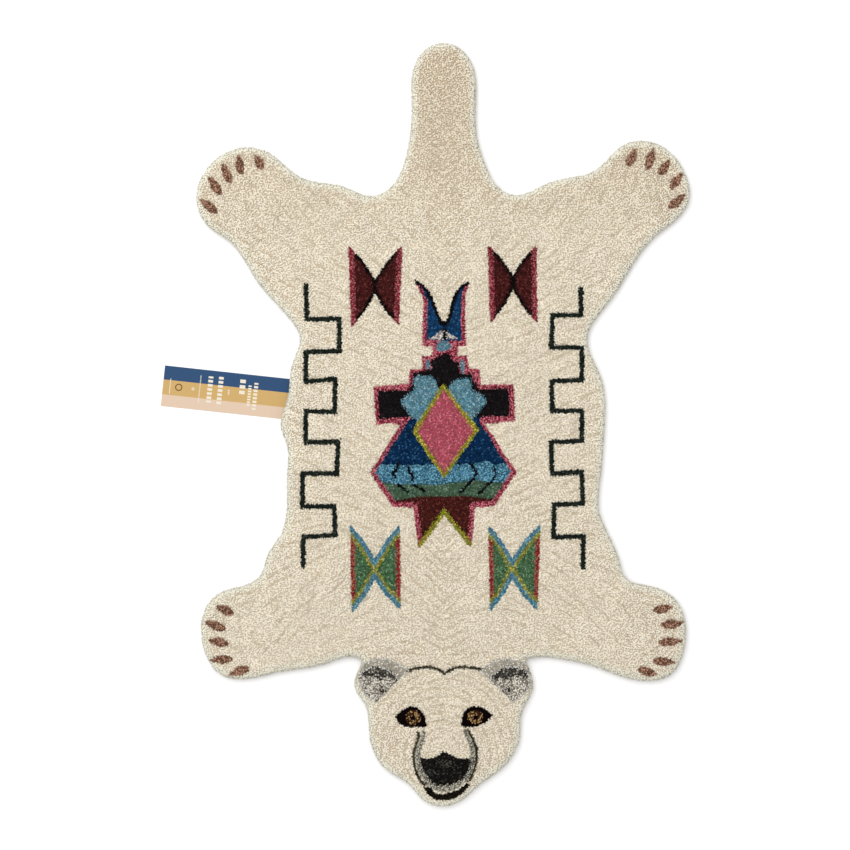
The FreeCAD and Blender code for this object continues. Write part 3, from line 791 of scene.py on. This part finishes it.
WOOLS = {
    "ivory_pile": wool("ivory wool", IVORY, 0.06, (207, 196, 175), 0.2, 0.3, 0.1),
    "claws": wool("claw brown wool", (158, 122, 102), 0.3, (118, 86, 70), 0.3),
    "figure_pink_outline": wool("rose wool", (182, 102, 112), 0.35, (140, 52, 68), 0.3),
    "figure_horn_blue": wool("horn blue wool", (26, 58, 92), 0.5, (44, 86, 122), 0.15),
    "figure_horn_white_peaks": wool("white wool", (206, 200, 192), 0.2, (150, 140, 140), 0.2),
    "figure_black_details": wool("black wool", (20, 18, 21), 0.5, (34, 34, 40), 0.2),
    "figure_light_blue_patches": wool("sky blue wool", (84, 128, 144), 0.4, (122, 152, 160), 0.3),
    "figure_black_body": wool("body black wool", (27, 24, 25), 0.5, (38, 34, 36), 0.15),
    "figure_diamond_border": wool("lime wool", (122, 128, 42), 0.35, (180, 164, 72), 0.35),
    "figure_diamond": wool("diamond rose wool", (164, 76, 90), 0.3, (184, 100, 112), 0.3),
    "figure_skirt_navy": wool("navy wool", (14, 42, 74), 0.5, (40, 74, 104), 0.2),
    "figure_skirt_sky_blue": wool("band blue wool", (94, 142, 162), 0.4, (66, 112, 134), 0.3),
    "figure_skirt_green": wool("band green wool", (66, 88, 68), 0.4, (92, 116, 98), 0.3),
    "figure_hem_maroon": wool("hem maroon wool", (70, 32, 29), 0.5, (88, 48, 42), 0.2),
    "figure_hem_lime": wool("hem lime wool", (122, 128, 42), 0.35, (176, 160, 70), 0.35),
    "upper_bows_maroon": wool("maroon wool", (68, 31, 30), 0.5, (86, 46, 44), 0.22),
    "upper_bows_pink_sides": wool("side rose wool", (162, 88, 94), 0.3, (128, 48, 58), 0.3),
    "upper_bows_black_edges": wool("edge black wool", (22, 19, 18), 0.5, (40, 34, 32), 0.15),
    "lower_bows_green": wool("bow green wool", (72, 104, 72), 0.5, (98, 126, 98), 0.25),
    "lower_bows_blue_edges": wool("edge blue wool", (74, 124, 146), 0.35, (112, 152, 164), 0.3),
    "lower_bows_lime_bands": wool("band lime wool", (126, 130, 50), 0.35, (172, 162, 84), 0.35),
    "lower_bows_red_sides": wool("side red wool", (156, 92, 78), 0.3, (146, 48, 54), 0.35),
    "key_border": wool("border wool", (30, 38, 34), 0.5, (58, 62, 54), 0.2),
    "ear_rims_grey": wool("ear grey wool", (158, 152, 137), 0.25, (196, 190, 178), 0.3),
    "ear_hollows_dark": wool("ear dark wool", (54, 52, 47), 0.4, (158, 152, 142), 0.22),
    "ear_hollows_speckled": wool("ear speckled wool", (194, 188, 176), 0.3, (138, 131, 120), 0.25),
    "face_dark_lines": wool("line wool", (84, 80, 66), 0.4, (54, 50, 42), 0.3),
    "eyes_black": wool("eye wool", (22, 13, 15), 0.5),
    "irises": wool("hazel wool", (158, 126, 86), 0.35, (70, 48, 32), 0.3),
    "nose_black": wool("nose wool", (26, 24, 22), 0.5, (52, 50, 48), 0.2),
    "nose_grey_lights": wool("nose grey wool", (66, 66, 60), 0.4, (32, 30, 30), 0.3),
    "muzzle_grey_band": wool("muzzle grey wool", (172, 168, 155), 0.3, (124, 119, 106), 0.25),
    "mouth_black": wool("mouth wool", (32, 28, 23), 0.5),
}
print("wools:", len(WOOLS))

# %% [markdown]
# ## Tufting every colour
#
# One bed and one crop of tufts is made for each solid. The trunk's ivory field is far
# larger than the rest, so its tufts are split into bands across the rug to keep each piece
# light, and its bed is a piece of its own.


# %% The pile
def wool_for(node):
    """The wool that a pile solid is tufted in."""
    return next(wools for key, wools in WOOLS.items() if node.startswith(key))


def seam_gap(node):
    """How far the tufts stay from the solid's rim, so that its finer neighbours stay sharp."""
    if node.startswith("ivory"):
        return 0.8 * MM
    if node.startswith(("figure_skirt", "figure_horn_blue")):
        return 0.6 * MM
    return 0.0


def tufted(node, number, bands=None):
    """The finished pile of one solid, in one piece or in a bed and bands."""
    field = node.startswith("ivory")
    rim = rim_segments(nodes[node], OUTLINE_STEP if field else FINE_OUTLINE_STEP)
    bed = slab(node, rim, bed_points(rim, GRID_STEP, True), rolled, PILE_FOOT)
    seam = rim[distances(rim.mean(axis=1), EDGE_TREE)[0] > 1.2 * MM]
    if len(seam):
        body_rim = tree_of(CLOTH_RIMS[BODY[node]].mean(axis=1))
        seam = seam[distances(seam.mean(axis=1), body_rim)[0] > 1.0 * MM]
    colour_edge = lines_object(f"{node} seam", seam if len(seam) else rim[:1] + FAR_AWAY)
    values = {
        "Pitch": PITCH if field else FINE_PITCH, "Girth": 1.0 if field else FINE_PITCH / PITCH, "Lean": LEAN,
        "Seam Gap": seam_gap(node), "Seam Cut": 0.35 if field else 0.0,
        "Seed": number, "From Y": -2.0, "To Y": 2.0, "Keep Bed": True,
        "Strokes": STROKE_LINES, "Colour Edge": colour_edge, "Rug Edge": EDGE_LINES, "Tufts": tufts,
        "Material": wool_for(node),
    }
    if bands is None:
        finished(f"{node}.tufts", grow(bed, values), None, BODY[node], [node])
        return
    for name, start, end in bands:
        mesh = grow(bed, {**values, "From Y": start, "To Y": end, "Keep Bed": False})
        finished(f"{node}.{name}", mesh, None, BODY[node], [node])
        print("   ", name, len(mesh.polygons), "faces")
    finished(f"{node}.bed", bed, wool_for(node), BODY[node], [node])


BANDS = [("shoulder_tufts", -2.0, -0.18), ("rib_tufts", -0.18, -0.06), ("belly_tufts", -0.06, 0.08),
         ("loin_tufts", 0.08, 0.2), ("rump_tufts", 0.2, 2.0)]
PILE_NODES = [node for node in sorted(nodes) if not node.startswith(("backing", "tufting", "tag"))]
for number, node in enumerate(PILE_NODES):
    tufted(node, number, BANDS if node == "ivory_pile_trunk" else None)
print("tufted:", len(PILE_NODES), "solids")

# %% [markdown]
# ## The two cloths
#
# The tufts are held in a woven ground that is coated with latex, and a plain cotton cloth is
# glued over it. Both are single flat sheets; only the folds part the solids of the frame. They
# are remade with an even mesh, and the backing cloth gets its plain weave.


# %% Cloth finishes
def woven(name, colour, pitch, depth, roughness):
    """Plain weave: two crossed sets of ridges, with painted light on their tops and painted shade in the
    hollows between.
    """
    material = bpy.data.materials.new(name)
    material.use_nodes = True
    make = Maker(material.node_tree)
    shader = material.node_tree.nodes["Principled BSDF"]
    place = make.add("ShaderNodeTexCoord", {}, {}, 3)
    threads = []
    for axis in (0, 1):
        run = make.add("ShaderNodeSeparateXYZ", {}, {0: place}, axis)
        threads.append(make.add("ShaderNodeMath", {"operation": "SINE"}, {0: run * (2 * math.pi / pitch)}))
    over = threads[0] * threads[1] * 0.5 + 0.5
    slubs = make.add("ShaderNodeTexNoise", {}, {"Vector": place, "Scale": 90.0, "Detail": 3.0})
    # Painted light and shade: the raised crossings of the weave are lighter, the hollows darker.
    lightness = over * 0.18 + slubs * 0.22 + 0.72
    grey = make.add("ShaderNodeCombineColor", {}, {0: lightness, 1: lightness, 2: lightness})
    painted = make.mixed(1.0, dye(*colour, 1.0), grey, "MULTIPLY")
    material.node_tree.links.new(painted.socket, shader.inputs["Base Color"])
    bump = make.add("ShaderNodeBump", {}, {"Strength": 0.6, "Distance": depth, "Height": over + slubs * 0.3})
    material.node_tree.links.new(bump.socket, shader.inputs["Normal"])
    shader.inputs["Roughness"].default_value = roughness
    return material


CANVAS = woven("backing canvas", (206, 196, 174), 1.6 * MM, 0.3 * MM, 0.9)
GROUND = woven("latexed ground cloth", (196, 190, 172), 2.4 * MM, 0.2 * MM, 0.75)
print("cloth finishes: canvas and latexed ground")


def cloth(kind, body, material):
    """One cloth of one body as an even flat sheet."""
    node = f"{kind}_{body}"
    low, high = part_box(node)
    rim = rim_segments(nodes[node], 4 * MM)
    mesh = slab(node, rim, bed_points(rim, 8 * MM, False), level(high[2]), low[2])
    piece = finished(f"{node}.sheet", mesh, material, body, [node])
    return piece


floor_mesh = bpy.data.meshes.new("studio_floor")
FLOOR_CORNERS = [(-1, -1), (1, -1), (1, 1), (-1, 1)]
floor_mesh.from_pydata([(9 * x, 9 * y, -0.2 * MM) for x, y in FLOOR_CORNERS], [], [(0, 1, 2, 3)])
floor = bpy.data.objects.new("studio_floor", floor_mesh)
bpy.context.scene.collection.objects.link(floor)
for body in ["trunk", *LIMBS]:
    backing = cloth("backing_cloth", body, CANVAS)
    cloth("tufting_cloth", body, GROUND)

# %% [markdown]
# ## The swing tag
#
# A long paper card with three printed stripes is sewn under the rug's edge. Its length and
# width run along and across the card, so its UV map simply holds those two distances in
# metres, and the print is drawn on them. The marks are generic bars and a ring.


# %% The card
HINGE, ALONG, ACROSS = hinge_frame("tag")


def card_places(node):
    """A card solid's vertices as distances along, across and above."""
    points = np.array([tuple(v.co) for v in nodes[node].data.vertices])
    return np.column_stack([(points - HINGE) @ ALONG, (points - HINGE) @ ACROSS, points[:, 2]])


strip, card = card_places("tag_sewn_strip"), card_places("tag_card")
start, end = strip[:, 0].min(), card[:, 0].max()
half, thick = card[:, 1].max(), card[:, 2].max()
FOLD_END = 0.03
stops = sorted({*np.linspace(start, 0.0, 9), *np.linspace(0.0, FOLD_END, 13),
                *np.linspace(FOLD_END, end, 25)})
places, faces, lengths = [], [], []
for stop in stops:
    for across, up in ((-half, 0), (half, 0), (half, thick), (-half, thick)):
        places.append(HINGE * (1, 1, 0) + ALONG * stop + ACROSS * across + np.array([0, 0, up]))
        lengths.append((stop, across))
for k in range(len(stops) - 1):
    for side in range(4):
        after = (side + 1) % 4
        faces.append((4 * k + side, 4 * k + after, 4 * k + 4 + after, 4 * k + 4 + side))
faces += [(3, 2, 1, 0), tuple(4 * (len(stops) - 1) + side for side in range(4))]
card_mesh = bpy.data.meshes.new("swing tag")
card_mesh.from_pydata([tuple(p) for p in places], [], faces)
shell = bmesh.new()
shell.from_mesh(card_mesh)
bmesh.ops.recalc_face_normals(shell, faces=shell.faces)
shell.to_mesh(card_mesh)
shell.free()
layer = card_mesh.uv_layers.new(name="card")
for loop in card_mesh.loops:
    layer.data[loop.index].uv = lengths[loop.vertex_index]
print("card:", round((end - start) / MM), "x", round(2 * half / MM), "x", round(thick / MM, 2), "mm")


# %% The print
INK_GAIN = 0.86
INKS = [(234, 226, 208), (120, 84, 50), (52, 80, 116), (204, 168, 108), (222, 196, 172)]


def printed_card():
    """Three stripes, rows of cream bars for wording, a thin rule and two rings."""
    material = bpy.data.materials.new("printed card")
    material.use_nodes = True
    make = Maker(material.node_tree)
    shader = material.node_tree.nodes["Principled BSDF"]
    spot = make.add("ShaderNodeUVMap", {"uv_map": "card"}, {})
    along = make.add("ShaderNodeSeparateXYZ", {}, {0: spot}, 0)
    across = make.add("ShaderNodeSeparateXYZ", {}, {0: spot}, 1)
    cream, brown, navy, ochre, blush = (dye(*ink, INK_GAIN) for ink in INKS)
    colour = make.mixed(across > half - 0.345 * 2 * half, ochre, navy)
    colour = make.mixed(across < 0.29 * 2 * half - half, colour, blush)

    def within(value, low, high):
        return (value > low) * (value < high)

    for near, far, low, high, letter in (
        (31, 36, -18, 16, 4.6), (39, 43, -14, 12, 3.4), (47, 54, -2, 20, 7.0), (75, 81, -16, 19, 5.2),
        (88, 94, -15, 18, 5.2), (103, 104.2, -17, 18, 1.6), (66, 68, -3, 4, 2.2),
    ):
        gaps = make.add("ShaderNodeMath", {"operation": "FRACT"}, {0: across * (1 / (letter * MM))}) < 0.62
        mask = within(along, near * MM, far * MM) * within(across, low * MM, high * MM) * gaps
        colour = make.mixed(mask, colour, cream)
    rule = within(along, 140.6 * MM, 141.4 * MM) * within(across, -9 * MM, 10 * MM)
    colour = make.mixed(rule, colour, cream)
    for ring_at, outer, inner, ink in ((130, 4.6, 3.3, brown), (112, 1.8, 1.0, cream)):
        away = make.add("ShaderNodeVectorMath", {"operation": "DISTANCE"},
                        {0: spot, 1: (ring_at * MM, 0, 0)}, 1)
        mask = (away < outer * MM) * (away > inner * MM - 0.1 * MM)
        colour = make.mixed(mask, colour, ink)
    material.node_tree.links.new(colour.socket, shader.inputs["Base Color"])
    shader.inputs["Roughness"].default_value = 0.6
    shader.inputs["Specular IOR Level"].default_value = 0.1
    return material


finished("swing_tag", card_mesh, printed_card(), "tag",
         ["tag_sewn_strip", "tag_card"], 20 * MM)
thread = bpy.data.materials.new("sewing thread")
thread.use_nodes = True
thread_shader = thread.node_tree.nodes["Principled BSDF"]
thread_make = Maker(thread.node_tree)
twist = thread_make.add("ShaderNodeTexNoise", {}, {"Scale": 900.0})
thread_colour = thread_make.mixed(twist, dye(214, 204, 180, 1.0), dye(170, 158, 132, 1.0))
thread.node_tree.links.new(thread_colour.socket, thread_shader.inputs["Base Color"])
thread_shader.inputs["Roughness"].default_value = 0.85
nodes["tag_stitches"].data.materials.clear()
nodes["tag_stitches"].data.materials.append(thread)
print("tag: card and stitches")

# %% [markdown]
# ## Floor, light and camera
#
# The rug is shown from straight above on a white floor. A very large soft light and an even
# pale sky leave hardly any shadow, as in a catalogue.

# %% Studio
paper = bpy.data.materials.new("white floor")
paper.use_nodes = True
paper_shader = paper.node_tree.nodes["Principled BSDF"]
paper_shader.inputs["Base Color"].default_value = (0.96, 0.96, 0.96, 1)
paper_shader.inputs["Roughness"].default_value = 1.0
paper_shader.inputs["Specular IOR Level"].default_value = 0.0
floor_mesh.materials.append(paper)

world = bpy.data.worlds.new("pale sky")
bpy.context.scene.world = world
world.use_nodes = True
sky = world.node_tree.nodes["Background"]
sky.inputs["Color"].default_value = (1, 1, 1, 1)
sky.inputs["Strength"].default_value = 0.75

softbox = bpy.data.lights.new("softbox", "AREA")
softbox.shape = "RECTANGLE"
softbox.size = 3.0
softbox.size_y = 3.0
softbox.energy = 62.0
softbox_object = bpy.data.objects.new("softbox", softbox)
softbox_object.location = (-0.9, 1.0, 2.6)
softbox_object.rotation_euler = Vector((0.9, -1.0, -2.6)).to_track_quat("-Z", "Y").to_euler()
bpy.context.scene.collection.objects.link(softbox_object)

FRAME_WIDTH = 1.0625
RUG_TOP = 14 * MM
lens = bpy.data.cameras.new("camera")
lens.lens = 100.0
lens.sensor_width = 36.0
camera = bpy.data.objects.new("camera", lens)
camera.location = (-0.025, -0.00125, RUG_TOP + FRAME_WIDTH * lens.lens / lens.sensor_width)
bpy.context.scene.collection.objects.link(camera)
bpy.context.scene.camera = camera
bpy.context.scene.view_settings.view_transform = "Standard"
print("camera:", round(camera.location.z, 3), "m above the floor")
